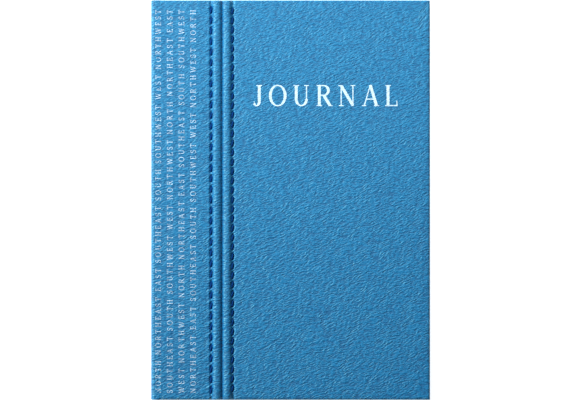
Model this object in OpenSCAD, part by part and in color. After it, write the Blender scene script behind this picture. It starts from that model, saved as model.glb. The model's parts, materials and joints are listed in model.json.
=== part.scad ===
// Sewn hardcover logbook in a padded leather case. The front is a narrow
// strip and a wide panel, joined by a seam with two raised welts and two
// rows of stitches. The book lies on its back cover: the spine is on the
// -X side, the head is towards +Y and the front cover faces +Z.

/* [Case] */
// Width from the spine face to the fore-edge
cover_w = 148; // [120:1:180]
// Height from tail to head
cover_h = 212; // [170:1:260]
// Thickness of the leather
leather_t = 0.9; // [0.6:0.1:1.2]
// Thickness of the foam under the leather
padding_t = 0.6; // [0.4:0.1:1.6]
// Thickness of the cover boards
board_t = 2.2; // [1.8:0.1:3.2]
// Width of the leather turned in round the edges of the boards
turn_in_w = 13; // [8:1:18]
// Thickness of the turned-in leather
turn_in_t = 0.6; // [0.3:0.1:0.8]

/* [Front seam] */
// Distance of the seam from the spine face
seam_x = 37.6; // [25:0.1:60]
// Width of each welt
welt_w = 5.6; // [4.6:0.1:8]
// How far a welt stands above the leather
welt_rise = 1.1; // [0.6:0.1:1.6]
// Slit between the two pieces of leather at the seam
seam_gap = 0.1; // [0.05:0.05:0.3]
// Thickness of the stitching thread
thread_d = 0.9; // [0.5:0.1:1.1]
// Length of one visible stitch
stitch_l = 3.9; // [2.5:0.1:4.5]
// Spacing of the stitches beside the strip
left_pitch = 5.6; // [5:0.1:8]
// Spacing of the stitches beside the panel
right_pitch = 5.0; // [4.8:0.1:8]

/* [Foil] */
// Distance of the title from the spine face
title_left = 54.1; // [48:0.1:60]
// Distance of the title from the fore-edge
title_margin = 17.1; // [8:0.1:24]
// Distance of the title's foot from the head
title_foot = 56.2; // [30:0.1:90]
// Height of the title's capitals
title_h = 11.1; // [6:0.1:14]
// Number of characters in the title
title_count = 7; // [3:1:12]
// Distance of the first column's foot from the spine face
column_first = 5.3; // [5:0.1:7]
// Spacing of the four columns
column_pitch = 6.17; // [4:0.01:6.2]
// Height of the columns' capitals
column_h = 2.9; // [2:0.1:3.5]
// Distance of the columns from tail and head
column_margin = 4.5; // [3:0.1:20]
// Thickness of the stamped foil
foil_t = 0.05; // [0.02:0.01:0.1]

/* [Pages] */
// Thickness of one leaf
leaf_t = 0.12; // [0.08:0.01:0.16]
// Leaves in one folded section
section_leaves = 8; // [6:2:16]
// Thickness of a flyleaf
flyleaf_t = 0.2; // [0.15:0.05:0.3]
// Thickness of the endpaper that is pasted to a board
pastedown_t = 0.2; // [0.15:0.05:0.3]
// How far the pasted endpaper stays inside the edge of the cover
pastedown_inset = 3.5; // [2:0.5:6]
// How far the boards stand out past the pages
square_w = 3; // [2:0.5:5]

/* [Spine] */
// Thickness of the card that stiffens the spine
spine_card_t = 1.2; // [0.6:0.1:1.4]
// Thickness of the paper liner
liner_t = 0.25; // [0.15:0.05:0.4]
// Thickness of the glued gauze
mull_t = 0.25; // [0.15:0.05:0.4]
// Thickness of the sewing thread
sewing_d = 0.3; // [0.2:0.05:0.5]
// Number of sewing stations along the spine
stations = 5; // [3:1:9]
// Thickness of the head and tail bands
band_d = 1.8; // [1.2:0.1:2.2]

/* [Fits] */
// Clearance on each side of a flyleaf
page_gap = 0.1; // [0.05:0.05:0.3]
// Clearance between two sections
section_gap = 0.04; // [0.02:0.01:0.1]
// Clearance between an opened cover and the spine
hinge_gap = 0.25; // [0.2:0.05:0.5]
// Clearance between the rolled joint leather and the edge that it follows
roll_gap = 0.05; // [0.02:0.01:0.1]
// Clearance round a thread
thread_gap = 0.05; // [0.02:0.01:0.1]

/* [Hidden] */
$fn = 96;
eps = 0.01;
section_count = 10;
column_count = 4;

cover_t = leather_t + padding_t + board_t + pastedown_t;
section_t = section_leaves * leaf_t;
section_pitch = section_t + section_gap;
leaf_room = flyleaf_t + 2 * page_gap;
sections_h = section_count * section_pitch - section_gap;
book_t = 2 * cover_t + 2 * leaf_room + sections_h;

// Each cover turns about the middle of its own thickness. An opened cover
// droops until its fore-edge is level with the back of the book.
hinge_r = cover_t / 2;
droop = asin((book_t - 2 * hinge_r) / (cover_w - hinge_r));
hinge_reach = (hinge_r + hinge_gap + hinge_r * sin(droop)) / cos(droop);
cover_x = hinge_r + hinge_reach;
board_x = cover_x + turn_in_t;
roll_from = 20;

card_x = leather_t;
liner_x = card_x + spine_card_t;
mull_x = liner_x + liner_t;
sewing_x = mull_x + mull_t + thread_gap + sewing_d / 2;
page_x = sewing_x + sewing_d / 2 + thread_gap;
page_end = cover_w - square_w;
page_h = cover_h - 2 * square_w;
sections_z = cover_t + leaf_room;

// The welts are arcs through the stitch row, the crest and the seam.
welt_r = (pow(welt_w / 2, 2) + pow(welt_rise, 2)) / (2 * welt_rise);
welt_z = cover_t + welt_rise - welt_r;
left_row_x = seam_x - welt_w;
right_row_x = seam_x + welt_w;
thread_z = cover_t - thread_d / 4;
groove_d = thread_d + 2 * thread_gap;
row_margin = 2 * leather_t;

leather_color = "#3c88c0";
board_color = "#9b8f7c";
foam_color = "#e9e4d6";
page_color = "#f4f0e4";
endpaper_color = "#e6ddc8";
thread_color = "#1c3358";

// Everything is laid out from the spine face and moved to the middle.
module from_spine() { translate([-cover_w / 2, 0, 0]) children(); }
module as_front() { from_spine() translate([0, 0, book_t - cover_t]) children(); }
module as_back() { from_spine() translate([0, 0, cover_t]) mirror([0, 0, 1]) children(); }

// A box from one x to another and one z to another, centred on y = 0
module slab(x0, x1, length, z0, z1) {
    translate([x0, -length / 2, z0]) cube([x1 - x0, length, z1 - z0]);
}

// A rod along y
module rod_y(x, z, d, length) {
    translate([x, 0, z]) rotate([90, 0, 0]) cylinder(d = d, h = length, center = true);
}

// One cover, inner face at z = 0 and outer face at z = cover_t
module cover_leather() {
    difference() {
        slab(cover_x, cover_w, cover_h, 0, cover_t);
        slab(cover_x - 1, cover_w - leather_t, cover_h - 2 * leather_t,
            pastedown_t + turn_in_t, cover_t - leather_t);
        slab(cover_x - 1, cover_w - turn_in_w, cover_h - 2 * turn_in_w,
            -1, pastedown_t + turn_in_t + eps);
        slab(cover_x - 1, cover_w - pastedown_inset, cover_h - 2 * pastedown_inset,
            -1, pastedown_t);
    }
}
module cover_padding() {
    slab(board_x, cover_w - leather_t, cover_h - 2 * leather_t,
        pastedown_t + board_t, cover_t - leather_t);
}
module cover_board() {
    slab(board_x, cover_w - leather_t, cover_h - 2 * leather_t,
        pastedown_t + turn_in_t, pastedown_t + board_t);
    slab(board_x, cover_w - turn_in_w, cover_h - 2 * turn_in_w,
        pastedown_t, pastedown_t + turn_in_t + eps);
}
module cover_pastedown() {
    slab(board_x, cover_w - pastedown_inset, cover_h - 2 * pastedown_inset,
        0, pastedown_t);
}

// Rolled leather at a hinge, on the hinge axis of the front cover
module joint_roll() {
    inner_r = hinge_r - roll_gap - leather_t;
    translate([hinge_r, 0, cover_t - hinge_r])
        rotate([90, 0, 0])
        rotate([0, 0, roll_from])
        rotate_extrude(angle = 180 - roll_from)
        translate([inner_r, -cover_h / 2])
        square([leather_t, cover_h]);
}

// Solid welt between two lines, down to the foam
module welt(x0, shrink) {
    intersection() {
        rod_y(x0 + welt_w / 2, welt_z, 2 * (welt_r - shrink), cover_h - 2 * shrink);
        slab(x0, x0 + welt_w, cover_h, cover_t - leather_t, cover_t + 2 * welt_rise);
    }
}
module front_skin() {
    difference() {
        union() {
            cover_leather();
            welt(left_row_x, 0);
            welt(seam_x, 0);
        }
        welt(left_row_x, leather_t);
        welt(seam_x, leather_t);
        rod_y(left_row_x, thread_z, groove_d, cover_h - 2 * leather_t);
        rod_y(right_row_x, thread_z, groove_d, cover_h - 2 * leather_t);
    }
}
module stitch_row(x, pitch) {
    count = floor((cover_h - 2 * row_margin) / pitch);
    for (i = [0 : count - 1])
        translate([0, (i - (count - 1) / 2) * pitch, 0])
            rod_y(x, thread_z, thread_d, stitch_l);
}

// A folded section: a flat pile of leaves with its fold at the spine
module section(index) {
    fold_r = section_t / 2;
    fold = [for (a = [90 : 30 : 270]) [page_x + fold_r + fold_r * cos(a), fold_r + fold_r * sin(a)]];
    from_spine()
        translate([0, 0, sections_z + (section_count - index) * section_pitch])
        rotate([90, 0, 0])
        linear_extrude(height = page_h, center = true)
        polygon(concat([[page_end, 0], [page_end, section_t]], fold));
}
module flyleaf(z) {
    from_spine() slab(page_x, page_end, page_h, z, z + flyleaf_t);
}
module band(side) {
    color(thread_color) from_spine()
        translate([page_x + band_d / 2, side * (page_h / 2 + thread_gap + band_d / 2), sections_z + section_pitch])
        cylinder(d = band_d, h = sections_h - 2 * section_pitch);
}

// The field of each stamped character, and of each stamped column
module title_fields() {
    pitch = (cover_w - title_left - title_margin) / (title_count - 0.3);
    for (i = [0 : title_count - 1])
        translate([title_left + i * pitch, cover_h / 2 - title_foot, cover_t])
            cube([0.7 * pitch, title_h, foil_t]);
}
module column_fields() {
    for (i = [0 : column_count - 1]) {
        foot_x = column_first + i * column_pitch;
        slab(max(foot_x - column_h, cover_x), foot_x, cover_h - 2 * column_margin, cover_t, cover_t + foil_t);
    }
}

module back_leather() { color(leather_color) as_back() cover_leather(); }
module back_padding() { color(foam_color) as_back() cover_padding(); }
module back_board() { color(board_color) as_back() cover_board(); }
module back_pastedown() { color(endpaper_color) as_back() cover_pastedown(); }

module spine_leather() {
    color(leather_color) from_spine() difference() {
        slab(0, card_x + spine_card_t, cover_h, hinge_r, book_t - hinge_r);
        slab(card_x, liner_x + 1, cover_h - 2 * leather_t, 0, book_t);
        slab(card_x, liner_x + 1, cover_h + 1, 0, cover_t);
        slab(card_x, liner_x + 1, cover_h + 1, book_t - cover_t, book_t);
    }
}
module front_joint_leather() { color(leather_color) as_front() joint_roll(); }
module back_joint_leather() { color(leather_color) as_back() joint_roll(); }
module spine_card() {
    color(board_color) from_spine()
        slab(card_x, liner_x, cover_h - 2 * leather_t, cover_t, book_t - cover_t);
}
module spine_liner() {
    color("#b08a5c") from_spine()
        slab(liner_x, mull_x, page_h, cover_t, book_t - cover_t);
}
module mull() {
    color("#e8e6dc") from_spine()
        slab(mull_x, mull_x + mull_t, page_h, cover_t, book_t - cover_t);
}
module sewing_thread() {
    color("#f2efe6") from_spine()
        for (i = [0 : stations - 1])
            translate([sewing_x, (i - (stations - 1) / 2) * page_h / stations, sections_z + section_pitch])
            cylinder(d = sewing_d, h = sections_h - 2 * section_pitch);
}
module headband() { band(1); }
module tailband() { band(-1); }

module front_flyleaf() { color(endpaper_color) flyleaf(book_t - cover_t - page_gap - flyleaf_t); }
module back_flyleaf() { color(endpaper_color) flyleaf(cover_t + page_gap); }

module section_01() { color(page_color) section(1); }
module section_02() { color(page_color) section(2); }
module section_03() { color(page_color) section(3); }
module section_04() { color(page_color) section(4); }
module section_05() { color(page_color) section(5); }
module section_06() { color(page_color) section(6); }
module section_07() { color(page_color) section(7); }
module section_08() { color(page_color) section(8); }
module section_09() { color(page_color) section(9); }
module section_10() { color(page_color) section(10); }

module strip_leather() {
    color(leather_color) as_front() intersection() {
        front_skin();
        slab(0, seam_x - seam_gap / 2, cover_h + 2, -1, cover_t + 2 * welt_rise);
    }
}
module panel_leather() {
    color(leather_color) as_front() intersection() {
        front_skin();
        slab(seam_x + seam_gap / 2, cover_w + 1, cover_h + 2, -1, cover_t + 2 * welt_rise);
    }
}
module left_seam_filler() { color(foam_color) as_front() welt(left_row_x, leather_t); }
module right_seam_filler() { color(foam_color) as_front() welt(seam_x, leather_t); }
module left_stitches() { color(thread_color) as_front() stitch_row(left_row_x, left_pitch); }
module right_stitches() { color(thread_color) as_front() stitch_row(right_row_x, right_pitch); }
module front_padding() { color(foam_color) as_front() cover_padding(); }
module front_board() { color(board_color) as_front() cover_board(); }
module front_pastedown() { color(endpaper_color) as_front() cover_pastedown(); }
module title_foil() { color("white") as_front() title_fields(); }
module column_foil() { color("white") as_front() column_fields(); }

back_leather();
back_padding();
back_board();
back_pastedown();
spine_leather();
front_joint_leather();
back_joint_leather();
spine_card();
spine_liner();
mull();
sewing_thread();
headband();
tailband();
front_flyleaf();
back_flyleaf();
section_01();
section_02();
section_03();
section_04();
section_05();
section_06();
section_07();
section_08();
section_09();
section_10();
strip_leather();
panel_leather();
left_seam_filler();
right_seam_filler();
left_stitches();
right_stitches();
front_padding();
front_board();
front_pastedown();
title_foil();
column_foil();
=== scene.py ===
import json
import math
import bmesh
import bpy
import numpy as np
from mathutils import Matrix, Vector


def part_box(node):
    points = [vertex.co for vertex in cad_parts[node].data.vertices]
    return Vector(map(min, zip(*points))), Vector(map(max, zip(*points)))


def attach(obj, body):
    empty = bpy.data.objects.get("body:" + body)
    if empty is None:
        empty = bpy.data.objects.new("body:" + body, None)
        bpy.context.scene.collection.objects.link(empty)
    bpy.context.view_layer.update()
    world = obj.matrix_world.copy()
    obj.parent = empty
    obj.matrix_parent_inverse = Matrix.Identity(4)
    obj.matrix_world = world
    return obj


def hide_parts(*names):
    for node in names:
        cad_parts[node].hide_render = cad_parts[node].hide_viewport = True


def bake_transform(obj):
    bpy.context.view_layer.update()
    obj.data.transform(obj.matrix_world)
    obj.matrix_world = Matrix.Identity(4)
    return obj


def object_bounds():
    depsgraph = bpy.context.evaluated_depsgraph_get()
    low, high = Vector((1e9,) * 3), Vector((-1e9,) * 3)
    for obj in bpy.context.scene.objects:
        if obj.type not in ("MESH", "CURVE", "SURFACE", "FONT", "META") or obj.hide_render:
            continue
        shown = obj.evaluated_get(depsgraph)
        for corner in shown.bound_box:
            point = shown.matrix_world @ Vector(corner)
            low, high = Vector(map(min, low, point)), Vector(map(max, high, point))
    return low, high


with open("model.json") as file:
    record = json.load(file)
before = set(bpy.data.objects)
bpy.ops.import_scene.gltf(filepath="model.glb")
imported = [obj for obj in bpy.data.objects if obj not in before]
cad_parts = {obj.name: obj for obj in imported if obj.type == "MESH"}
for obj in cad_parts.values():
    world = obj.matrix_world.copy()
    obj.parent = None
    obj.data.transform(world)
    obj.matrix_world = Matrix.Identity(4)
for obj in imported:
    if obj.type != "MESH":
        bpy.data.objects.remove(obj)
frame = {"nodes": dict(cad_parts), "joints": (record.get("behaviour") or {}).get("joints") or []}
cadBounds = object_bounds()
mm = 0.001
print("frame loaded")

joints = {j["name"]: j for j in frame["joints"]}
frontAxis = Vector(joints["front_cover_open"]["pos_m"])
backAxis = Vector(joints["back_cover_open"]["pos_m"])
backLow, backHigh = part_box("back_leather")
coverThick = backHigh.z - backLow.z
hingeRadius = coverThick / 2
topZ = frontAxis.z + hingeRadius            # outer face of the front leather
spineX = cadBounds[0].x
foreX = cadBounds[1].x
headY = cadBounds[1].y
coverHeight = 2 * headY
stripLow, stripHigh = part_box("strip_leather")
panelLow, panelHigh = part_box("panel_leather")
hingeSideX = stripLow.x                     # where the stiff cover starts
seamX = (stripHigh.x + panelLow.x) / 2
leftRowX = sum(c.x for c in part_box("left_stitches")) / 2
rightRowX = sum(c.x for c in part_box("right_stitches")) / 2
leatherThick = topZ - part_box("front_padding")[1].z
weltRise = stripHigh.z - topZ
weltWidth = seamX - leftRowX
pageLow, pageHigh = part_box("section_01")
bendStart = Vector((spineX, 0, frontAxis.z))
bendEnd = Vector((hingeSideX, 0, topZ))
frontBend = ("text_block", "front_cover", bendStart, bendEnd)
weldDistance = 1e-6                         # points closer than this become one
emptyLength = 1e-7                          # anything shorter than this has no length
endLoss = 0.96                              # a rounded end keeps a fifth of its thickness


def gridFaces(rows, cols, first=0, flip=False):
    # quads between neighbouring points of a rows by cols grid, numbered row by row
    index = first + np.arange(rows * cols).reshape(rows, cols)
    quads = [index[:-1, :-1], index[1:, :-1], index[1:, 1:], index[:-1, 1:]]
    if flip:
        quads.reverse()
    return np.stack(quads, -1).reshape(-1, 4)


def patchMesh(name, patches, closed, sharp):
    # patches are (points, uv, flip) grids; they are joined, and shared edges are welded
    points, uvs, faces, first = [], [], [], 0
    for grid, uv, flip in patches:
        rows, cols = grid.shape[:2]
        points.append(grid.reshape(-1, 3))
        uvs.append(uv.reshape(-1, 2))
        faces.append(gridFaces(rows, cols, first, flip))
        first += rows * cols
    points, uvs, faces = np.concatenate(points), np.concatenate(uvs), np.concatenate(faces)
    mesh = bpy.data.meshes.new(name)
    mesh.vertices.add(len(points))
    mesh.vertices.foreach_set("co", points.astype(np.float32).ravel())
    mesh.loops.add(faces.size)
    mesh.loops.foreach_set("vertex_index", faces.astype(np.int32).ravel())
    mesh.polygons.add(len(faces))
    mesh.polygons.foreach_set("loop_start", np.arange(0, faces.size, 4, dtype=np.int32))
    mesh.update(calc_edges=True)
    layer = mesh.uv_layers.new(name="skin")
    layer.data.foreach_set("uv", uvs[faces.ravel()].astype(np.float32).ravel())
    build = bmesh.new()
    build.from_mesh(mesh)
    bmesh.ops.remove_doubles(build, verts=build.verts, dist=weldDistance)
    bmesh.ops.dissolve_degenerate(build, edges=build.edges, dist=emptyLength)
    if closed:
        bmesh.ops.recalc_face_normals(build, faces=build.faces)
    build.to_mesh(mesh)
    build.free()
    mesh.polygons.foreach_set("use_smooth", np.ones(len(mesh.polygons), bool))
    mesh.set_sharp_from_angle(angle=math.radians(sharp))
    return mesh


def makePiece(name, patches, body, material, replaces=(), closed=False, sharp=50):
    # body is the name of the one body that the piece is attached to; anything else leaves the piece
    # unattached, with its transform baked in
    mesh = patchMesh(name, patches, closed, sharp)
    mesh.materials.append(material)
    piece = bpy.data.objects.new(name, mesh)
    bpy.context.scene.collection.objects.link(piece)
    if isinstance(body, str):
        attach(piece, body)
    else:
        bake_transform(piece)
    if replaces:
        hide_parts(*replaces)
    return piece


def smoothStep(t):
    t = np.clip(t, 0, 1)
    return t * t * (3 - 2 * t)


def smoothNoise(x, y, cell, seed):
    # random heights on a square lattice, eased between the four nearest points
    size = 256
    lattice = np.random.default_rng(seed).uniform(-1, 1, (size, size))
    gridX, gridY = x / cell + size // 2, y / cell + size // 2
    ix, iy = np.floor(gridX).astype(int), np.floor(gridY).astype(int)
    fx, fy = smoothStep(gridX - ix), smoothStep(gridY - iy)

    def between(line):
        return lattice[ix % size, line % size] * (1 - fx) + lattice[(ix + 1) % size, line % size] * fx

    return between(iy) * (1 - fy) + between(iy + 1) * fy


def pathLength(path):
    # distance run along a row of points
    steps = np.linalg.norm(np.diff(path, axis=0), axis=1)
    return np.concatenate([[0], np.cumsum(steps)])


def pathNormal(path):
    # unit vectors across a row of points, to its left
    tangent = np.gradient(path, axis=0)
    tangent /= np.maximum(np.linalg.norm(tangent, axis=1), emptyLength)[:, None]
    return np.stack([-tangent[:, 1], tangent[:, 0]], 1)


def tubePatches(grid, uv):
    # a tube of rings, closed at both ends by a fan
    patches = [(grid, uv, False)]
    for end in (0, -1):
        tip = np.broadcast_to(grid[end, :-1].mean(0), grid[end].shape)
        patches.append((np.stack([grid[end], tip]), np.stack([uv[end]] * 2), False))
    return patches


def sheetPatches(path, thick, ys, roundEnds=False, uStart=0.0):
    # a sheet of even thickness: a path in x and z, moved to both sides of itself by half
    # the thickness, carried along y and closed at its four edges
    normal = pathNormal(path)
    half = np.full(len(ys), thick / 2)
    if roundEnds:
        inset = np.clip((np.abs(ys) - (ys.max() - thick / 2)) / (thick / 2), 0, 1)
        half = half * np.sqrt(1 - endLoss * inset ** 2)
    run = uStart + pathLength(path)
    patches = []
    for side in (1, -1):
        offset = path[:, None, :] + side * normal[:, None, :] * half[None, :, None]
        grid = np.stack([offset[..., 0], np.broadcast_to(ys, offset.shape[:2]), offset[..., 1]], -1)
        uv = np.stack(np.broadcast_arrays(run[:, None], ys[None, :]), -1)
        patches.append((grid, uv, side < 0))
    upper, lower = patches[0][0], patches[1][0]
    uv = patches[0][1]
    for cut in ((0, slice(None)), (-1, slice(None)), (slice(None), 0), (slice(None), -1)):
        edge = np.stack([upper[cut], lower[cut]])
        patches.append((edge, np.stack([uv[cut], uv[cut]]), False))
    return patches


def feed(tree, socket, value):
    # link another socket to this one, or set its value
    if isinstance(value, bpy.types.NodeSocket):
        tree.links.new(value, socket)
    else:
        socket.default_value = value


class Nodes:
    # adds nodes to a tree from left to right and links them by name
    def __init__(self, tree):
        self.tree, self.count = tree, 0

    def add(self, kind, inputs=None, **values):
        node = self.tree.nodes.new("ShaderNode" + kind)
        node.location = (180 * (self.count % 9), -240 * (self.count // 9))
        self.count += 1
        for key, value in values.items():
            setattr(node, key, value)
        for key, value in (inputs or {}).items():
            feed(self.tree, node.inputs[key], value)
        return node

    def wire(self, output, node, label):
        self.tree.links.new(output, node.inputs[label])

    def math(self, operation, a, b=0.0, clamp=False):
        return self.add("Math", {0: a, 1: b}, operation=operation, use_clamp=clamp).outputs[0]

    def plus(self, a, b, clamp=False):
        return self.math("ADD", a, b, clamp)

    def minus(self, a, b):
        return self.math("SUBTRACT", a, b)

    def times(self, a, b, clamp=False):
        return self.math("MULTIPLY", a, b, clamp)

    def noise(self, vector, scale, detail, **more):
        return self.add("TexNoise", {"Vector": vector, "Scale": scale, "Detail": detail, **more})

    def vector(self, operation, a, b):
        inputs = {0: a, "Scale" if operation == "SCALE" else 1: b}
        return self.add("VectorMath", inputs, operation=operation).outputs[0]

    def mix(self, factor, a, b):
        return self.add("Mix", {0: factor, 6: a, 7: b}, data_type="RGBA").outputs[2]

    def ramp(self, factor, stops):
        node = self.add("ValToRGB", {0: factor})
        elements = node.color_ramp.elements
        while len(elements) < len(stops):
            elements.new(0.5)
        for element, (position, shade) in zip(elements, stops):
            element.position, element.color = position, shade
        return node.outputs[0]


def colour(r, g, b):
    # display values from 0 to 255 as a linear colour
    line = [c / 255 / 12.92 if c <= 10 else ((c / 255 + 0.055) / 1.055) ** 2.4 for c in (r, g, b)]
    return (*line, 1.0)


def newGroup(name, inputs, outputs):
    tree = bpy.data.node_groups.new(name, "ShaderNodeTree")
    for way, labels in (("INPUT", inputs), ("OUTPUT", outputs)):
        for label in labels:
            kind = "NodeSocketVector" if label == "Vector" else "NodeSocketFloat"
            tree.interface.new_socket(label, in_out=way, socket_type=kind)
    nodes = Nodes(tree)
    into, out = (tree.nodes.new(kind) for kind in ("NodeGroupInput", "NodeGroupOutput"))
    out.location = (1800, 0)
    return tree, nodes, into, out


def newMaterial(name, **shader):
    material = bpy.data.materials.new(name)
    material.use_nodes = True
    tree = material.node_tree
    tree.nodes.clear()
    nodes = Nodes(tree)
    out = nodes.add("OutputMaterial")
    principled = nodes.add("BsdfPrincipled")
    for key, value in shader.items():
        principled.inputs[key.replace("_", " ")].default_value = value
    tree.links.new(principled.outputs[0], out.inputs[0])
    return material, nodes, principled


def useGroup(nodes, tree, **inputs):
    node = nodes.add("Group")
    node.node_tree = tree
    for key, value in inputs.items():
        feed(nodes.tree, node.inputs[key.replace("_", " ")], value)
    return node.outputs


grainLook = {
    "bendScale": 0.10, "bendPush": 3.4,      # slow bends of all the folds
    "foldAngle": -0.30, "foldStretch": (0.36, 1.0, 1.0),
    "crossAngle": 0.95, "crossStretch": (0.55, 1.0, 1.0), "crossScale": 0.8, "crossShare": 0.16,
    "swellScale": 0.28, "swellShare": 0.45,
    "pebbleEdge": 3.2, "pebbleShare": 0.035,
    "creviceLevel": 0.53, "creviceGain": 5.5, "poreShare": 0.25,
    "cloudScale": 0.05,
}


def grainGroup():
    # short slanted folds crossed by finer ones, with pebbles and pores between them
    look = grainLook
    tree, n, into, out = newGroup("leatherGrain", ("Vector", "Fold Width", "Pebble Size"),
                                  ("Height", "Crevice", "Cloud"))
    vector = into.outputs["Vector"]
    bend = n.noise(vector, look["bendScale"], 2.0)
    shift = n.vector("SUBTRACT", bend.outputs["Color"], (0.5, 0.5, 0.5))
    bent = n.vector("ADD", vector, n.vector("SCALE", shift, look["bendPush"]))

    def turned(angle, stretch):
        spin = n.add("VectorRotate", {"Vector": bent, "Angle": angle}, rotation_type="Z_AXIS")
        return n.vector("MULTIPLY", spin.outputs[0], stretch)

    narrow = turned(look["foldAngle"], look["foldStretch"])
    foldScale = n.math("DIVIDE", 1.0, into.outputs["Fold Width"])
    folds = n.noise(narrow, foldScale, 0.7, Roughness=0.4, Distortion=0.3).outputs[0]
    crossed = turned(look["crossAngle"], look["crossStretch"])
    second = n.noise(crossed, n.times(foldScale, look["crossScale"]), 0.6).outputs[0]
    swell = n.noise(bent, look["swellScale"], 1.0).outputs[0]
    cellScale = n.math("DIVIDE", 1.0, into.outputs["Pebble Size"])
    cells = n.add("TexVoronoi", {"Vector": narrow, "Scale": cellScale},
                  feature="DISTANCE_TO_EDGE")
    pebble = n.math("MINIMUM", n.times(cells.outputs[0], look["pebbleEdge"]), 1.0)
    height = folds
    for part, share in ((second, "crossShare"), (pebble, "pebbleShare"), (swell, "swellShare")):
        height = n.plus(height, n.times(part, look[share]))
    # the crevice mask: where the leather is painted darker (partly its own darker valleys, partly
    # painted shade), where it is rougher, and where the foil breaks
    depth = n.minus(look["creviceLevel"], folds)
    low = n.times(depth, look["creviceGain"], clamp=True)
    pores = n.times(n.minus(1.0, pebble), look["poreShare"])
    hollow = n.plus(pores, low, clamp=True)
    cloud = n.noise(vector, look["cloudScale"], 4.0, Roughness=0.6).outputs[0]
    n.wire(height, out, "Height")
    n.wire(hollow, out, "Crevice")
    n.wire(cloud, out, "Cloud")
    return tree


fibreLook = {
    "mottleScale": 1.4, "mottleShade": 0.45,
    "fibreScale": 2.0, "fibreStretch": (0.7, 4.0, 1.0), "fibreShare": 0.6,
    "cloudScale": 0.05, "cloudShade": 0.55,
}


def fibreGroup():
    # soft mottling and short fibres
    look = fibreLook
    tree, n, into, out = newGroup("paperFibre", ("Vector",), ("Height", "Shade"))
    vector = into.outputs["Vector"]
    mottle = n.noise(vector, look["mottleScale"], 5.0, Roughness=0.7).outputs[0]
    along = n.add("Mapping", {"Vector": vector, "Scale": look["fibreStretch"]})
    fibre = n.noise(along.outputs[0], look["fibreScale"], 3.0).outputs[0]
    wide = n.noise(vector, look["cloudScale"], 2.0).outputs[0]
    height = n.plus(mottle, n.times(fibre, look["fibreShare"]))
    shade = n.plus(n.times(mottle, look["mottleShade"]), n.times(wide, look["cloudShade"]))
    n.wire(height, out, "Height")
    n.wire(shade, out, "Shade")
    return tree


leatherGrain = grainGroup()
paperFibre = fibreGroup()
perMetre = 1000.0     # millimetres, which every texture scale counts in


def skinVector(nodes):
    # the piece's own unrolled coordinates, in millimetres
    uv = nodes.add("UVMap", uv_map="skin").outputs[0]
    return nodes.vector("SCALE", uv, perMetre)


def placeVector(nodes):
    # object coordinates in millimetres
    place = nodes.add("TexCoord").outputs["Object"]
    return nodes.vector("SCALE", place, perMetre)


def addBump(nodes, principled, height, strength, depth):
    bump = nodes.add("Bump", {"Height": height, "Strength": strength, "Distance": depth})
    nodes.wire(bump.outputs[0], principled, "Normal")


leatherLook = {
    "face": colour(3, 110, 167),       # top of the grain
    "crevice": colour(1, 66, 126),     # darker down in the creases: partly the leather's own darker valleys, partly painted shade
    "worn": colour(13, 121, 175),      # rubbed patches
    "shine": (0.5, 1.0, 0.7, 1.0),     # tint of the dressed surface's gloss
    "foldWidth": 0.68, "pebbleSize": 0.8,    # mm
    "wornLevel": 0.42, "wornGain": 2.2, "wornShare": 0.5, "creviceShare": 0.7,
    "roughness": (0.50, 0.62),
    "bumpDepth": 0.50 * mm,
}


def leatherRelief(n, vector):
    # height, crevice and cloud of the grain at the leather's own scale
    return useGroup(n, leatherGrain, Vector=vector, Fold_Width=leatherLook["foldWidth"],
                    Pebble_Size=leatherLook["pebbleSize"])[:3]


def leatherMaterial():
    look = leatherLook
    material, n, shader = newMaterial("blueLeather", Specular_IOR_Level=1.0)
    shader.inputs["Specular Tint"].default_value = look["shine"]
    height, crevice, cloud = leatherRelief(n, skinVector(n))
    patch = n.times(n.minus(cloud, look["wornLevel"]), look["wornGain"], clamp=True)
    base = n.mix(n.times(patch, look["wornShare"]), look["face"], look["worn"])
    # painted shade, partly the leather's own darker valleys: the colour is darker down in the creases
    tone = n.mix(n.times(crevice, look["creviceShare"]), base, look["crevice"])
    n.wire(tone, shader, "Base Color")
    low, high = look["roughness"]
    rough = n.plus(low, n.times(crevice, high - low))
    n.wire(rough, shader, "Roughness")
    addBump(n, shader, height, 1.0, look["bumpDepth"])
    return material


threadLook = {
    "dark": colour(0, 40, 96), "light": colour(5, 72, 144),
    "plyScale": 1.6, "fuzzScale": 7.0, "bumpDepth": 0.08 * mm,
}


def threadMaterial():
    material, n, shader = newMaterial("navyThread", Roughness=0.75, Specular_IOR_Level=0.06)
    vector = skinVector(n)
    ply = {"Vector": vector, "Scale": threadLook["plyScale"], "Distortion": 1.2, "Detail": 1.0}
    strands = n.add("TexWave", ply, bands_direction="DIAGONAL")
    fuzz = n.noise(vector, threadLook["fuzzScale"], 3.0)
    mixed = n.times(strands.outputs[1], fuzz.outputs[0])
    n.wire(n.mix(mixed, threadLook["dark"], threadLook["light"]), shader, "Base Color")
    addBump(n, shader, mixed, 0.7, threadLook["bumpDepth"])
    return material


foilLook = {
    "sheet": colour(196, 224, 232),     # thick, unbroken foil
    "thin": colour(196, 220, 236),      # where the leather shows through a little
    "creaseShade": colour(158, 192, 216),      # painted shade down in the creases
    "breakScale": 1.7, "breakShare": 0.75, "creviceShare": 0.30,
    "breakLevel": 0.70, "breakSpread": 0.34, "breakGain": 3.2,
}


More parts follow.
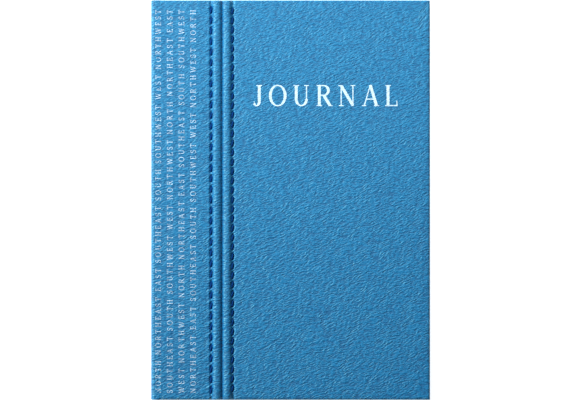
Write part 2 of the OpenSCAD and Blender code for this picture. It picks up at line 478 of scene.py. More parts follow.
def foilMaterial(name, gaps, sheet):
    # stamped foil; gaps is how much of it the grain has broken
    material, n, shader = newMaterial(name, Specular_IOR_Level=0.5)
    look = foilLook
    vector = skinVector(n)
    height, crevice = leatherRelief(n, vector)[:2]
    fine = n.noise(vector, look["breakScale"], 4.0, Roughness=0.65).outputs[0]
    worn = n.plus(n.times(fine, look["breakShare"]),
                  n.times(crevice, look["creviceShare"]))
    level = look["breakLevel"] - look["breakSpread"] * gaps
    hole = n.times(n.minus(worn, level), look["breakGain"], clamp=True)
    # painted shade: the foil's colour is darker down in the leather's creases
    tone = n.mix(n.times(crevice, 0.6), sheet, look["creaseShade"])
    n.wire(tone, shader, "Base Color")
    n.wire(n.minus(1.0, n.times(hole, gaps)), shader, "Alpha")
    n.wire(n.plus(0.34, n.times(crevice, 0.2)), shader, "Roughness")
    addBump(n, shader, height, 0.6, leatherLook["bumpDepth"])
    return material


paperLook = {
    "page": colour(214, 208, 192), "pageShade": colour(196, 188, 168),
    "rule": colour(126, 150, 170), "margin": colour(172, 98, 92),
    "lineSpacing": 7.0, "lineWidth": 0.16, "barWidth": 0.256,   # mm
    "ruleInk": 0.8, "marginInk": 0.75, "bumpDepth": 0.03 * mm,
    "endpaper": colour(206, 198, 178), "endpaperShade": colour(186, 176, 152),
}


def paperMaterial(name, light, shade, ruled):
    material, n, shader = newMaterial(name, Roughness=0.88, Specular_IOR_Level=0.25)
    vector = skinVector(n)
    height, mottled = useGroup(n, paperFibre, Vector=vector)[:2]
    mottling = n.times(n.minus(mottled, 0.35), 2.0, clamp=True)
    tone = n.mix(mottling, light, shade)
    if ruled:
        split = n.add("SeparateXYZ", {0: vector})
        across, up = n.math("ABSOLUTE", split.outputs[0]), split.outputs[1]
        spacing, width = paperLook["lineSpacing"], paperLook["lineWidth"]
        phase = n.math("ABSOLUTE", n.minus(n.math("FRACT", n.math("DIVIDE", up, spacing)), 0.5))
        line = n.math("LESS_THAN", phase, width / spacing)
        inside = n.math("LESS_THAN", n.math("ABSOLUTE", up), ruled["half"])
        edges = ruled["columns"]
        past = n.math("GREATER_THAN", across, edges[0])
        before = n.math("LESS_THAN", across, edges[-1])
        ink = n.times(n.times(line, inside), n.times(past, before))
        tone = n.mix(n.times(ink, paperLook["ruleInk"]), tone, paperLook["rule"])
        for edge in edges:
            off = n.math("ABSOLUTE", n.minus(across, edge))
            bar = n.times(n.math("LESS_THAN", off, paperLook["barWidth"] / 2), inside)
            tone = n.mix(n.times(bar, paperLook["marginInk"]), tone, paperLook["margin"])
    n.wire(tone, shader, "Base Color")
    addBump(n, shader, height, 0.35, paperLook["bumpDepth"])
    return material


# the boards, the liner, the gauze and the foam keep their CAD shapes and read object coordinates
stockLook = {
    # name: light colour, dark colour, scale of the specks, roughness
    "greyBoard": (colour(150, 140, 124), colour(104, 94, 80), 3.0, 0.9),
    "kraftLiner": (colour(182, 140, 92), colour(146, 106, 64), 4.5, 0.8),
    "foamSheet": (colour(214, 210, 198), colour(186, 180, 164), 2.2, 0.95),
    "cottonCord": (colour(228, 222, 206), colour(186, 178, 158), 1.6, 0.9),
    "linenThread": (colour(238, 232, 216), colour(196, 186, 160), 5.0, 0.75),
}


def stockMaterial(name):
    light, dark, scale, rough = stockLook[name]
    material, n, shader = newMaterial(name, Roughness=rough, Specular_IOR_Level=0.25)
    vector = placeVector(n)
    speck = n.noise(vector, scale, 6.0, Roughness=0.75)
    flat = n.add("Mapping", {"Vector": vector, "Scale": (0.3, 0.3, 6.0)})
    layers = n.noise(flat.outputs[0], 1.2, 3.0)
    mask = n.times(n.plus(speck.outputs[0], layers.outputs[0]), 0.5)
    n.wire(n.ramp(mask, [(0.34, dark), (0.62, light)]), shader, "Base Color")
    addBump(n, shader, mask, 0.6, 0.06 * mm)
    return material


gauzeLook = {
    "glue": colour(150, 132, 100), "thread": colour(230, 226, 214),
    "weave": 3.1, "bumpDepth": 0.1 * mm,
}


def gauzeMaterial():
    material, n, shader = newMaterial("openGauze", Roughness=0.85)
    vector = placeVector(n)
    split = n.add("SeparateXYZ", {0: vector})
    warp, weft = (
        n.math("ABSOLUTE", n.math("SINE", n.times(place, gauzeLook["weave"])))
        for place in (split.outputs[1], split.outputs[2])
    )
    cloth = n.math("MAXIMUM", warp, weft)
    mask = n.times(n.minus(cloth, 0.55), 2.2, clamp=True)
    n.wire(n.mix(mask, gauzeLook["glue"], gauzeLook["thread"]), shader, "Base Color")
    addBump(n, shader, mask, 0.8, gauzeLook["bumpDepth"])
    return material


bandLook = {
    "navy": (colour(12, 26, 58), colour(34, 58, 104)),
    "white": (colour(206, 208, 210), colour(240, 240, 236)),
    "repeat": 1.4, "fuzzScale": 9.0,     # mm for one stripe of each colour
    "bumpDepth": 0.05 * mm,
}


def bandMaterial():
    # woven end band: two colours of silk wound in turn
    material, n, shader = newMaterial("endBandSilk", Roughness=0.5, Sheen_Weight=0.3)
    vector = skinVector(n)
    split = n.add("SeparateXYZ", {0: vector})
    turn = n.math("FRACT", n.math("DIVIDE", split.outputs[0], bandLook["repeat"]))
    stripe = n.math("GREATER_THAN", turn, 0.5)
    fuzz = n.noise(vector, bandLook["fuzzScale"], 3.0)
    dark = n.mix(fuzz.outputs[0], *bandLook["navy"])
    light = n.mix(fuzz.outputs[0], *bandLook["white"])
    n.wire(n.mix(stripe, dark, light), shader, "Base Color")
    addBump(n, shader, fuzz.outputs[0], 0.5, bandLook["bumpDepth"])
    return material


blueLeather = leatherMaterial()
navyThread = threadMaterial()
print("materials made")


leatherShape = {
    "rim": 6 * mm,             # flat border that the edge profile starts from
    "topRound": 1.25 * mm,     # rounding where the leather turns over the edge
    "innerRound": 0.7 * mm,
    "innerFlat": 2.2 * mm,
    "turnIn": 13 * mm,
    "paperInset": 3.5 * mm,    # the pastedown starts here, in a step of its own depth
    "paperStep": 0.24 * mm, "paperRamp": 0.06 * mm,
    "fadeDepth": 2.2 * mm,     # the relief has died out this far down the edge
    "mitreReach": 12 * mm,     # the edge strips fan out over this length before a corner
    "weltUneven": 0.10, "weltCell": 7 * mm,
    "seamDepth": 0.70 * mm, "seamHalf": 0.60 * mm,
    "seamShift": 0.12 * mm,    # the seam and both grooves lie this far to the fore-edge's side
    "grooveDepth": 0.85 * mm, "grooveWidth": 0.98 * mm,
    "deepest": 0.84 * mm,      # just short of the foam
    "bridgeRise": 0.62 * mm,   # leather that stands up between two stitches
    "bridgeSlant": 0.9, "bridgeStart": 0.35, "bridgeEase": 0.12,
    "pucker": 0.13 * mm, "puckerReach": 3.2 * mm, "puckerFade": 1.9, "puckerStart": 4,
    "shoulderRise": 0.10 * mm, "shoulderPlace": 1.15 * mm, "shoulderHalf": 0.55 * mm,
    "wave": 0.05 * mm, "waveCell": 11 * mm, "rippleCell": 4 * mm, "rippleShare": 0.45,
    "edgeFall": 0.22 * mm, "edgeReach": 2.2 * mm,
    "backWave": 0.02 * mm, "backSink": 1.5, "backFall": 0.12 * mm,
    "leftPitch": 5.6 * mm, "rightPitch": 5.0 * mm, "stitchLength": 3.9 * mm, "rowMargin": 1.8 * mm,
}


def stitchCount(pitch):
    return int((coverHeight - 2 * leatherShape["rowMargin"]) // pitch)


def stitchPhase(y, pitch):
    # distance from the middle of the nearest stitch, as a share of the pitch, from -0.5 to 0.5
    offset = 0.0 if stitchCount(pitch) % 2 else 0.5
    turns = y / pitch + offset
    return turns - np.round(turns)


def bell(off, half):
    return np.exp(-(off / half) ** 2)


def slowWaves(x, y, seed):
    s = leatherShape
    ripples = smoothNoise(x, y, s["rippleCell"], seed + 1)
    return smoothNoise(x, y, s["waveCell"], seed) + s["rippleShare"] * ripples


def fallAtEdge(x, y, depth):
    edge = np.minimum(foreX - x, headY - np.abs(y))
    return depth * np.exp(-np.maximum(edge, 0) / leatherShape["edgeReach"])


def frontField(x, y):
    # height above the flat leather: two round welts, a groove with bridges along each row of
    # stitches, puckers that fan out from the rows, slow waves, and a fall towards the edges
    s = leatherShape
    weltRadius = ((weltWidth / 2) ** 2 + weltRise ** 2) / (2 * weltRise)
    height = np.zeros(np.broadcast(x, y).shape)
    for middle in (seamX - weltWidth / 2, seamX + weltWidth / 2):
        off = np.clip(np.abs(x - middle), 0, weltWidth / 2)
        crown = np.sqrt(weltRadius ** 2 - off ** 2) - (weltRadius - weltRise)
        uneven = 1 + s["weltUneven"] * smoothNoise(x * 0 + middle, y, s["weltCell"], 11)
        height = np.maximum(height, crown * uneven)
    height = height - s["seamDepth"] * bell(x - seamX - s["seamShift"], s["seamHalf"])
    for rowX, pitch, out in ((leftRowX, s["leftPitch"], -1), (rightRowX, s["rightPitch"], 1)):
        phase = stitchPhase(y - s["bridgeSlant"] * (x - rowX), pitch)
        between = smoothStep((np.abs(phase) - s["bridgeStart"]) / s["bridgeEase"])
        across = bell(x - rowX - s["seamShift"], s["grooveWidth"])
        height = height - across * (s["grooveDepth"] - s["bridgeRise"] * between)
        away = np.maximum((x - rowX) * out, 0) / s["puckerReach"]
        fan = np.exp(-away * s["puckerFade"]) * smoothStep(away * s["puckerStart"])
        height = height - s["pucker"] * fan * np.cos(2 * np.pi * phase)
        shoulder = bell(x - rowX - out * s["shoulderPlace"], s["shoulderHalf"])
        height = height + s["shoulderRise"] * shoulder
    height = height + s["wave"] * slowWaves(x, y, 1)
    height = height - fallAtEdge(x, y, s["edgeFall"])
    return np.maximum(height, -s["deepest"])


def backField(x, y):
    # plain padded cover: slow waves and a fall towards the edges
    s = leatherShape
    return s["backWave"] * (slowWaves(x, y, 5) - s["backSink"]) - fallAtEdge(x, y, s["backFall"])


def edgeProfile():
    # out and down from the rim: flat, round the outer corner, down the edge, round the inner
    # corner, and back in along the inner face as the turn-in
    s = leatherShape
    top = np.linspace(0, s["rim"] - s["topRound"], 7)
    turn = np.linspace(0, np.pi / 2, 9)[1:]
    down = np.linspace(s["topRound"], coverThick - s["innerRound"], 4)[1:]
    under = np.linspace(0, np.pi / 2, 6)[1:]
    ramp = s["paperRamp"]
    stops = [s["innerFlat"], s["paperInset"] - ramp, s["paperInset"] + ramp, s["turnIn"]]
    out = np.concatenate([
        top, top[-1] + s["topRound"] * np.sin(turn), np.full(len(down), s["rim"]),
        s["rim"] - s["innerRound"] * (1 - np.cos(under)), s["rim"] - np.array(stops)])
    drop = np.concatenate([
        np.zeros(len(top)), s["topRound"] * (1 - np.cos(turn)), down,
        coverThick - s["innerRound"] * (1 - np.sin(under)),
        coverThick - np.array([0.0, 0.0, s["paperStep"], s["paperStep"]])])
    return out, drop


def coverSkin(columns, rows, field, toFore):
    # a grid over the outer face, and strips that follow the edge profile down and under;
    # at the corners the strips meet on a mitre
    out, drop = edgeProfile()
    turned = pathLength(np.stack([out, drop], 1))
    fade = 1 - smoothStep(drop / leatherShape["fadeDepth"])
    reach = leatherShape["mitreReach"]
    patches = []

    def place(x, y, down, fading):
        return np.stack(np.broadcast_arrays(x, y, topZ + field(x, y) * fading - down), -1)

    x, y = columns[:, None], rows[None, :]
    patches.append((place(x, y, 0.0, 1.0), np.stack(np.broadcast_arrays(x, y), -1), False))
    slide = smoothStep((columns - columns[-1] + reach) / reach) if toFore else np.zeros(len(columns))
    for side in (1, -1):
        x = columns[:, None] + slide[:, None] * out[None, :]
        y = side * (rows[-1] + out)[None, :] + 0 * x
        uv = np.stack(np.broadcast_arrays(columns[:, None], side * (rows[-1] + turned)[None, :]), -1)
        patches.append((place(x, y, drop[None, :], fade[None, :]), uv, side < 0))
    if toFore:
        tilt = smoothStep((np.abs(rows) - rows[-1] + reach) / reach) * np.sign(rows)
        x = (columns[-1] + out)[:, None] + 0 * rows[None, :]
        y = rows[None, :] + tilt[None, :] * out[:, None]
        uv = np.stack(np.broadcast_arrays((columns[-1] + turned)[:, None], rows[None, :]), -1)
        patches.append((place(x, y, drop[:, None], fade[:, None]), uv, False))
    return patches


def spaced(start, *stops):
    # columns from start on, each stop being (place, step)
    parts = [np.array([start])]
    for place, step in stops:
        count = max(2, int(round((place - parts[-1][-1]) / step)) + 1)
        parts.append(np.linspace(parts[-1][-1], place, count)[1:])
    return np.concatenate(parts)


rimY = headY - leatherShape["rim"]
rimX = foreX - leatherShape["rim"]
skinRows = np.linspace(-rimY, rimY, 440)
backRows = np.linspace(-rimY, rimY, 160)
seamSlit = 0.04 * mm
columnStep = {"seam": 0.24 * mm, "strip": 1.1 * mm, "panel": 1.3 * mm, "back": 1.6 * mm}


def frontSkins():
    step = columnStep
    strip = spaced(hingeSideX, (leftRowX - 5 * mm, step["strip"]), (seamX - seamSlit, step["seam"]))
    makePiece("stripLeatherSkin", coverSkin(strip, skinRows, frontField, False), "front_cover",
              blueLeather, ["strip_leather"])
    panel = spaced(seamX + seamSlit, (rightRowX + 4 * mm, step["seam"]), (rimX, step["panel"]))
    makePiece("panelLeatherSkin", coverSkin(panel, skinRows, frontField, True), "front_cover",
              blueLeather, ["panel_leather"])


def backSkin():
    # made like a front cover, then turned over by taking its heights down from the top face
    columns = spaced(hingeSideX, (rimX, columnStep["back"]))
    patches = coverSkin(columns, backRows, backField, True)
    turned = []
    for grid, uv, flip in patches:
        grid = grid.copy()
        grid[..., 2] = topZ - grid[..., 2]
        turned.append((grid, uv, not flip))
    makePiece("backLeatherSkin", turned, "back_cover", blueLeather, ["back_leather"])


spineSplit = 1.5 * mm     # the joint leather meets the spine leather this far from the axis


def jointPath(mirrored):
    # middle of the leather: up the spine, round the hinge axis and along to the stiff cover
    middle = hingeRadius - leatherThick / 2
    axis = frontAxis
    foot = np.linspace(-spineSplit, 0, 5)[:-1]
    turn = np.linspace(np.pi, np.pi / 2, 13)
    flat = np.linspace(0, hingeSideX - axis.x, 9)[1:]
    x = np.concatenate([np.full(len(foot), axis.x - middle), axis.x + middle * np.cos(turn),
                        axis.x + flat])
    z = np.concatenate([axis.z + foot, axis.z + middle * np.sin(turn),
                        np.full(len(flat), axis.z + middle)])
    if mirrored:
        z = topZ - z
    return np.stack([x, z], 1)


def endRows(count, half, roundLength):
    # rows along y that gather at both ends, where the sheet is rounded off
    inner = np.linspace(-(half - roundLength), half - roundLength, count)
    cap = half - roundLength + roundLength * np.sin(np.linspace(0, np.pi / 2, 6)[1:])
    return np.concatenate([-cap[::-1], inner, cap])


def bindingSkins():
    ys = endRows(200, headY, leatherThick / 2)
    run = hingeSideX - pathLength(jointPath(False))[-1]
    makePiece("frontJointLeather", sheetPatches(jointPath(False), leatherThick, ys, True, run),
              frontBend, blueLeather, ["front_joint_leather"], True)
    low, high = (Vector((p.x, 0, topZ - p.z)) for p in (bendStart, bendEnd))
    makePiece("backJointLeather", sheetPatches(jointPath(True), leatherThick, ys, True, run),
              ("text_block", "back_cover", low, high), blueLeather, ["back_joint_leather"], True)
    middle = spineX + leatherThick / 2
    heights = np.linspace(backAxis.z + spineSplit, frontAxis.z - spineSplit, 14)
    path = np.stack([np.full(len(heights), middle), heights], 1)
    makePiece("spineLeatherSkin", sheetPatches(path, leatherThick, ys, True, run - np.ptp(heights)),
              "text_block", blueLeather, ["spine_leather"], True)


frontSkins()
backSkin()
bindingSkins()
print("leather made")


stitchLook = {
    "radius": 0.57 * mm, "slant": 0.34 * mm,
    "arch": 0.16 * mm, "dip": 0.75 * mm, "sunk": 0.42 * mm,
    "plies": 3.0, "plySwell": 0.13,
    "tip": 0.02, "tipPower": 5, "dipPower": 7,     # how suddenly the ends close and dive
    "slantSpread": 0.35, "lengthSpread": 0.05, "sideSpread": 0.06 * mm,
}


def stitchRow(name, rowX, pitch, node):
    # each stitch is a tube along y that leans a little, rises in its middle and dives at both
    # ends; two plies show as a radius that swells twice round the tube and turns along it
    s = stitchLook
    count = stitchCount(pitch)
    middles = (np.arange(count) - (count - 1) / 2) * pitch
    random = np.random.default_rng(int(pitch / mm * 10))
    lean = s["slant"] * (1 + s["slantSpread"] * random.uniform(-1, 1, count))
    side = s["sideSpread"] * random.uniform(-1, 1, count)
    run = np.linspace(-1, 1, 15)
    around = np.linspace(0, 2 * np.pi, 11)
    half = leatherShape["stitchLength"] / 2 * (1 + s["lengthSpread"] * random.uniform(-1, 1, count))
    length, turn = run[None, :, None], around[None, None, :]
    index = np.arange(count)[:, None, None]
    closing = 1 + s["tip"] - np.abs(length) ** s["tipPower"]
    radius = s["radius"] * np.sqrt(np.clip(closing, s["tip"], 1))
    radius = radius * (1 + s["plySwell"] * np.cos(2 * turn - s["plies"] * 2 * length))
    x = rowX + side[index] + lean[index] * length + radius * np.cos(turn)
    y = middles[index] + half[index] * length + 0 * turn
    base = topZ - s["sunk"] + s["arch"] * (1 - length ** 2)
    z = base - s["dip"] * np.abs(length) ** s["dipPower"] + radius * np.sin(turn)
    grid = np.stack(np.broadcast_arrays(x, y, z), -1)
    u = np.broadcast_to(around[None, None, :] * s["radius"], grid.shape[:3])
    uv = np.stack([u, grid[..., 1]], -1)
    patches = []
    for i in range(count):
        patches += tubePatches(grid[i], uv[i])
    makePiece(name, patches, "front_cover", navyThread, [node], True, 80)


stitchRow("leftStitchThread", leftRowX, leatherShape["leftPitch"], "left_stitches")
stitchRow("rightStitchThread", rightRowX, leatherShape["rightPitch"], "right_stitches")
print("stitches made")


# half widths of the strokes, in units of the capital's height
titleLetter = {"stem": 0.068, "hair": 0.027, "serif": 0.022}
columnLetter = {"stem": 0.046, "hair": 0.030, "serif": 0.024}
wordSpace = 0.62
bowlStress = 1.4     # how fast a round stroke thins away from its sides
foilLayer = {"lift": 0.03 * mm, "step": 0.003 * mm, "steps": 7, "sunk": 0.05 * mm}


def arc(cx, cy, rx, ry, start, stop, count=14):
    angle = np.radians(np.linspace(start, stop, count))
    return np.stack([cx + rx * np.cos(angle), cy + ry * np.sin(angle)], 1)


def letterStrokes(letter, shape):
    # the letter's width and its strokes, each as points and half widths, in the same units
    stem, hair, serif = shape["stem"], shape["hair"], shape["serif"]
    low, high = serif, 1 - serif

    def line(x0, y0, x1, y1, w0, w1=None):
        return np.linspace((x0, y0), (x1, y1), 8), np.linspace(w0, w1 or w0, 8)

    def foot(x, y, reach=0.13):
        return line(x - reach, y, x + reach, y, serif)

    def bowl(cx, cy, rx, ry, start, stop, count=18):
        points = arc(cx, cy, rx, ry, start, stop, count)
        angle = np.radians(np.linspace(start, stop, count))
        return points, hair + (stem - hair) * np.abs(np.cos(angle)) ** bowlStress

    snake = np.concatenate([arc(0.28, 0.745, 0.20, 0.232, 25, 235, 16),
                            arc(0.27, 0.262, 0.22, 0.24, 68, -155, 18)])
    swell = np.concatenate([np.linspace(hair, stem * 0.9, 16), np.linspace(stem, hair, 18)])
    glyphs = {
        "A": (0.80, [
            line(0.10, 0, 0.40, 1, hair), line(0.40, 1, 0.70, 0, stem),
            line(0.20, 0.33, 0.60, 0.33, hair), foot(0.10, low, 0.10), foot(0.70, low, 0.12),
        ]),
        "E": (0.64, [
            line(0.15, 0, 0.15, 1, stem), line(0.02, high, 0.56, high, hair),
            line(0.15, 0.51, 0.45, 0.51, hair), line(0.02, low, 0.60, low, hair),
            line(0.555, 0.78, 0.55, 1, hair * 0.7, hair),
            line(0.59, 0.24, 0.60, 0, hair * 0.7, hair), line(0.44, 0.40, 0.44, 0.62, hair * 0.8),
        ]),
        "H": (0.84, [
            line(0.16, 0, 0.16, 1, stem), line(0.68, 0, 0.68, 1, stem),
            line(0.16, 0.51, 0.68, 0.51, hair), foot(0.16, low), foot(0.68, low), foot(0.16, high),
            foot(0.68, high),
        ]),
        "J": (0.46, [
            line(0.30, 1, 0.30, 0.22, stem), bowl(0.17, 0.22, 0.13, 0.20, 0, -150), foot(0.30, high),
            line(0.045, 0.165, 0.075, 0.165, 0.052),
        ]),
        "L": (0.62, [
            line(0.15, 0, 0.15, 1, stem), foot(0.15, high), line(0.02, low, 0.58, low, hair),
            line(0.57, 0.26, 0.58, 0, hair * 0.7, hair),
        ]),
        "N": (0.84, [
            line(0.14, 0, 0.14, 1, hair), line(0.14, 0.97, 0.70, 0.03, stem),
            line(0.70, 0, 0.70, 1, hair), foot(0.14, low, 0.11), foot(0.70, high, 0.11),
            line(0.0, high, 0.16, high, serif),
        ]),
        "O": (0.86, [bowl(0.43, 0.5, 0.355, 0.485, 0, 360, 44)]),
        "R": (0.76, [
            line(0.15, 0, 0.15, 1, stem), foot(0.15, low), line(0.02, high, 0.36, high, hair),
            bowl(0.36, 0.745, 0.22, 0.228, 90, -90), line(0.15, 0.515, 0.36, 0.515, hair),
            line(0.36, 0.52, 0.66, 0.02, stem), foot(0.69, low, 0.08),
        ]),
        "S": (0.56, [
            (snake, swell), line(0.46, 0.72, 0.47, 1.0, hair * 0.8),
            line(0.065, 0.28, 0.06, 0.0, hair * 0.8),
        ]),
        "T": (0.70, [
            line(0.35, 0, 0.35, 1, stem), foot(0.35, low), line(0.03, high, 0.67, high, hair),
            line(0.04, 0.76, 0.035, 1, hair * 0.7, hair),
            line(0.66, 0.76, 0.665, 1, hair * 0.7, hair),
        ]),
        "U": (0.82, [
            line(0.16, 1, 0.16, 0.33, stem), bowl(0.405, 0.33, 0.245, 0.305, 180, 360, 22),
            line(0.65, 0.33, 0.65, 1, hair), foot(0.16, high), foot(0.65, high, 0.11),
        ]),
        "W": (1.12, [
            line(0.10, 1, 0.34, 0.0, stem), line(0.34, 0.0, 0.56, 0.96, hair),
            line(0.56, 0.96, 0.80, 0.0, stem), line(0.80, 0.0, 1.02, 1, hair),
            foot(0.10, high, 0.11), foot(1.02, high, 0.10),
        ]),
    }
    return glyphs[letter]


def strokePatches(points, widths, place, lift):
    # a ribbon to both sides of a path, laid on the leather: left, middle and right on top, and
    # back again underneath
    spots = [place(points + pathNormal(points) * widths[:, None] * k) for k in (-1, 0, 1)]
    rings = []
    for level, order in ((lift, (0, 1, 2)), (-foilLayer["sunk"], (2, 1, 0))):
        for k in order:
            x, y = spots[k][:, 0], spots[k][:, 1]
            rings.append(np.stack([x, y, topZ + frontField(x, y) + level], 1))
    rings.append(rings[0])
    grid = np.stack(rings)
    patches = [(grid, grid[..., :2], True)]
    for end in (0, -1):
        cap = np.stack([grid[:3, end], grid[5:2:-1, end]])
        patches.append((cap, cap[..., :2], end == 0))
    return patches


def wordPatches(word, shape, height, gap, place):
    # letters one after another; every stroke has its own tiny lift, so that none lies in another
    patches, cursor, order = [], 0.0, 0
    for letter in word:
        if letter == " ":
            cursor += wordSpace
            continue
        width, strokes = letterStrokes(letter, shape)
        for points, widths in strokes:
            order += 1
            lift = foilLayer["lift"] + foilLayer["step"] * (order % foilLayer["steps"])
            shifted = (points + (cursor, 0)) * height
            patches += strokePatches(shifted, widths * height, place, lift)
        cursor += width + gap
    return patches


def letterGap(word, length):
    # the gap that spreads a word over a length, in units of the capital's height
    bare = sum(wordSpace if c == " " else letterStrokes(c, titleLetter)[0] for c in word)
    return (length - bare) / (len(word.replace(" ", "")) - 1)


titleLook = {
    "word": "JOURNAL",
    "left": 54.1 * mm, "right": 130.9 * mm,     # from the spine
    "baseline": 56.2 * mm,                      # from the head
    "height": 11.1 * mm,
}


def titleFoil():
    # a general title, set between two margins
    look = titleLook
    word, height = look["word"], look["height"]
    gap = letterGap(word, (look["right"] - look["left"]) / height)
    corner = np.array([spineX + look["left"], headY - look["baseline"]])
    patches = wordPatches(word, titleLetter, height, gap, lambda p: p + corner)
    foil = foilMaterial("titleFoilWhite", 0.0, foilLook["sheet"])
    makePiece("titleFoil", patches, "front_cover", foil, ["title_foil"], True, 30)


columnLook = {
    "words": ["NORTH", "NORTHEAST", "EAST", "SOUTHEAST", "SOUTH", "SOUTHWEST", "WEST", "NORTHWEST"],
    "firstBaseline": 5.3 * mm, "pitch": 6.17 * mm, "height": 2.9 * mm,
    "tailMargin": 3.7 * mm, "headMargin": 5.3 * mm,
    "starts": (0, 3, 6, 1), "gaps": 0.6,
}


def columnFoils():
    # the points of the compass, read upwards in four columns, each starting at another point
    look = columnLook
    broken = foilMaterial("columnFoilWhite", look["gaps"], foilLook["thin"])
    length = coverHeight - look["tailMargin"] - look["headMargin"]
    foot = -headY + look["tailMargin"]
    for number, start in enumerate(look["starts"]):
        words = look["words"][start:] + look["words"][:start]
        text = " ".join(words)
        gap = letterGap(text, length / look["height"])
        baseline = spineX + look["firstBaseline"] + number * look["pitch"]
        patches = wordPatches(text, columnLetter, look["height"], gap,
                              lambda p: np.stack([baseline - p[:, 1], foot + p[:, 0]], 1))
        # the first column lies on the joint
        body = frontBend if number == 0 else "front_cover"
        makePiece(f"columnFoil{number + 1}", patches, body, broken,
                  ["column_foil"] if number == 1 else (), True, 30)


titleFoil()
columnFoils()
print("foil made")


paperShape = {
    "leafThick": 0.10 * mm, "sheets": 4,
    "ragX": 0.22 * mm, "ragY": 0.16 * mm,     # how unevenly the sheets are cut
    "rootReach": 9 * mm,                      # the leaves are sampled closely this far from their fold
    "flyReach": 6 * mm,                       # a flyleaf's far point lies this far from its root
    "flyThin": 0.9,
}
ruling = {"half": 92.0, "columns": [12.0, 34.0, 58.0, 84.0, 108.0, 132.0]}
pagePaper = paperMaterial("pagePaper", paperLook["page"], paperLook["pageShade"], ruling)
endPaper = paperMaterial("endPaper", paperLook["endpaper"], paperLook["endpaperShade"], None)


def foldedPath(rootX, endX, low, high):
    # fore-edge of the upper leaf, along to the fold, round it, and back to the lower fore-edge
    radius = (high - low) / 2
    near = rootX + paperShape["rootReach"]
    across = np.concatenate([np.linspace(endX, near, 9), np.linspace(near, rootX + radius, 28)[1:]])
    turn = np.linspace(np.pi / 2, 3 * np.pi / 2, 7)[1:-1]
    x = np.concatenate([across, rootX + radius + radius * np.cos(turn), across[::-1]])
    z = np.concatenate([np.full(len(across), high), (high + low) / 2 + radius * np.sin(turn),
                        np.full(len(across), low)])
    return np.stack([x, z], 1)


def section(number):
    # four folded sheets, one inside the other, each cut a little unevenly
    s = paperShape
    node = f"section_{number:02d}"
    low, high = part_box(node)
    step = (high.z - low.z) / (2 * s["sheets"])
    random = np.random.default_rng(40 + number)
    patches = []
    for sheet in range(s["sheets"]):
        inset = (sheet + 0.5) * step
        endX = high.x - s["ragX"] * random.uniform(0, 1)
        halfY = high.y - s["ragY"] * random.uniform(0, 1)
        path = foldedPath(low.x + sheet * step, endX, low.z + inset, high.z - inset)
        fold = -pathLength(path)[-1] / 2
        patches += sheetPatches(path, s["leafThick"], np.linspace(-halfY, halfY, 9), False, fold)
    body = "text_block"
    if number == 1:
        far = low.x + s["rootReach"]
        body = ("text_block", "first_section", Vector((low.x, 0, low.z)), Vector((far, 0, low.z)))
    makePiece(f"sectionLeaves{number:02d}", patches, body, pagePaper, [node], True, 40)


def flatPath(x0, x1, z, rootStep=0.3 * mm, root=10 * mm):
    # a level path with close samples near its root
    near = np.linspace(x0, x0 + root, int(root / rootStep))
    x = np.concatenate([near, np.linspace(x0 + root, x1, 16)[1:]])
    return np.stack([x, np.full(len(x), z)], 1)


def endpapers():
    ys = np.linspace(pageLow.y, pageHigh.y, 25)
    for node, parent in (("front_flyleaf", "text_block"), ("back_flyleaf", "back_cover")):
        low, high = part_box(node)
        middle = (low.z + high.z) / 2
        path = flatPath(low.x, high.x, middle)
        far = low.x + paperShape["flyReach"]
        body = (parent, node, Vector((low.x, 0, middle)), Vector((far, 0, middle)))
        sheet = sheetPatches(path, (high.z - low.z) * paperShape["flyThin"], ys)
        makePiece(node + "Sheet", sheet, body, endPaper, [node], True, 40)
    for node, cover in (("front_pastedown", "front_cover"), ("back_pastedown", "back_cover")):
        low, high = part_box(node)
        middle = (low.z + high.z) / 2
        path = np.stack([np.linspace(low.x, high.x, 30), np.full(30, middle)], 1)
        sheet = sheetPatches(path, high.z - low.z, np.linspace(low.y, high.y, 25))
        makePiece(node + "Sheet", sheet, cover, endPaper, [node], True, 40)


for number in range(1, 11):
    section(number)
endpapers()
print("paper made")


bandShape = {"turn": 0.7 * mm, "ripple": 0.08, "end": 0.5}


def endBand(node):
    # a cord stood across the spine and wound with silk: a tube whose radius ripples turn by turn
    low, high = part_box(node)
    radius = (high.x - low.x) / 2
    centre = (low + high) / 2
    along = np.linspace(low.z, high.z, 90)
    around = np.linspace(0, 2 * np.pi, 17)
    s = bandShape
    wound = around[None, :] / (2 * np.pi)
    turns = (along[:, None] - low.z) / s["turn"] + wound
    swell = radius * (1 - s["ripple"] + s["ripple"] * np.abs(np.sin(np.pi * turns)))
    swell[0] = swell[-1] = radius * s["end"]
    x = centre.x + swell * np.cos(around)[None, :]
    y = centre.y + swell * np.sin(around)[None, :]
    z = np.broadcast_to(along[:, None], x.shape)
    grid = np.stack([x, y, z], -1)
    uv = np.stack([z + wound * s["turn"], x], -1)
    makePiece(node + "Silk", tubePatches(grid, uv), "text_block", bandSilk, [node],
              True, 80)


bandSilk = bandMaterial()
endBand("headband")
endBand("tailband")


def coverNode(name, material):
    # a kept CAD node takes a detailed material
    slots = frame["nodes"][name].data.materials
    slots.clear()
    slots.append(material)


nodeMaterials = {
    "greyBoard": ["back_board", "front_board", "spine_card"],
    "kraftLiner": ["spine_liner"],
    "foamSheet": ["back_padding", "front_padding"],
    "cottonCord": ["left_seam_filler", "right_seam_filler"],
    "linenThread": ["sewing_thread"],
}
for stock, names in nodeMaterials.items():
    made = stockMaterial(stock)
    for name in names:
        coverNode(name, made)
coverNode("mull", gauzeMaterial())
print("spine made")


stageLook = {
    "floor": colour(250, 250, 250), "floorSpeck": colour(244, 244, 244), "floorGlow": 0.80,
    "floorHalf": 4.0, "floorDrop": 0.0002,     # metres
    "world": 0.12, "worldTint": (0.96, 0.98, 1.0, 1),
    "lens": 200.0, "sensor": 36.0, "clip": (0.05, 20), "frameWidth": 580, "frameHeight": 400,
    "offset": -0.27 * mm,     # the book stands a hair to the right of the middle
}


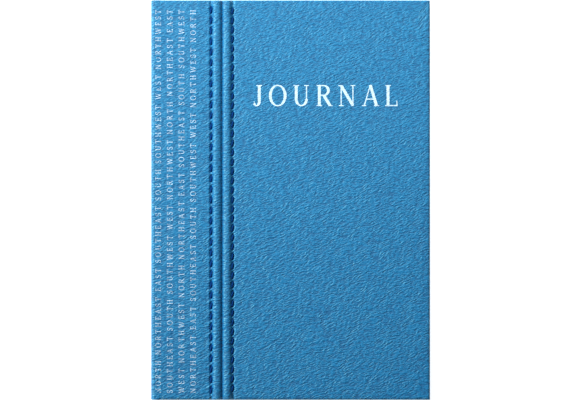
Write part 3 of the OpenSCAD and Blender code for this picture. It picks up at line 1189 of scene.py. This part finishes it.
def floorAndWorld():
    look = stageLook
    half = look["floorHalf"]
    corners = [(x * half, y * half, -look["floorDrop"]) for x, y in ((-1, -1), (1, -1), (1, 1), (-1, 1))]
    mesh = bpy.data.meshes.new("floor")
    mesh.from_pydata(corners, [], [(0, 1, 2, 3)])
    floor = bpy.data.objects.new("floor", mesh)
    bpy.context.scene.collection.objects.link(floor)
    material, n, shader = newMaterial("paleFloor", Roughness=0.9, Specular_IOR_Level=0.1)
    speck = n.noise(placeVector(n), 0.02, 2.0)
    n.wire(n.mix(speck.outputs[0], look["floor"], look["floorSpeck"]), shader, "Base Color")
    shader.inputs["Emission Color"].default_value = (1, 1, 1, 1)
    shader.inputs["Emission Strength"].default_value = look["floorGlow"]
    mesh.materials.append(material)
    world = bpy.data.worlds.new("studio")
    bpy.context.scene.world = world
    world.use_nodes = True
    background = world.node_tree.nodes["Background"]
    background.inputs["Color"].default_value = look["worldTint"]
    background.inputs["Strength"].default_value = look["world"]


lightLook = [
    # name, place, point it is turned to, size in metres, watts, tint
    ("keyLight", (-1.32, 0.74, 0.95), (0, 0, 0), (0.60, 0.60), 60.0, (1.0, 1.0, 1.0)),
    ("headLight", (0.0, 0.15, 0.22), (0, 0.15, 0), (0.50, 0.22), 0.48, (1.0, 1.0, 1.0)),
    ("fillLight", (0.8, -0.8, 1.2), (0, 0, 0), (1.0, 1.0), 0.8, (0.97, 0.98, 1.0)),
]


def lights():
    for name, place, aim, size, power, tint in lightLook:
        light = bpy.data.lights.new(name, "AREA")
        light.shape, light.size, light.size_y = "RECTANGLE", size[0], size[1]
        light.energy, light.color = power, tint
        lamp = bpy.data.objects.new(name, light)
        lamp.location = place
        lamp.visible_camera = False
        lamp.rotation_euler = (Vector(aim) - Vector(place)).to_track_quat("-Z", "Y").to_euler()
        bpy.context.scene.collection.objects.link(lamp)


def camera():
    # straight above, so far that the cover's height just fills the frame
    look = stageLook
    data = bpy.data.cameras.new("camera")
    data.lens, data.sensor_width = look["lens"], look["sensor"]
    visible = look["sensor"] * look["frameHeight"] / look["frameWidth"]
    distance = coverHeight * look["lens"] / visible
    data.clip_start, data.clip_end = look["clip"]
    cam = bpy.data.objects.new("camera", data)
    cam.location = (look["offset"], 0, topZ + distance)
    bpy.context.scene.collection.objects.link(cam)
    bpy.context.scene.camera = cam


floorAndWorld()
lights()
camera()
bpy.context.scene.view_settings.view_transform = "Standard"
print("stage made")
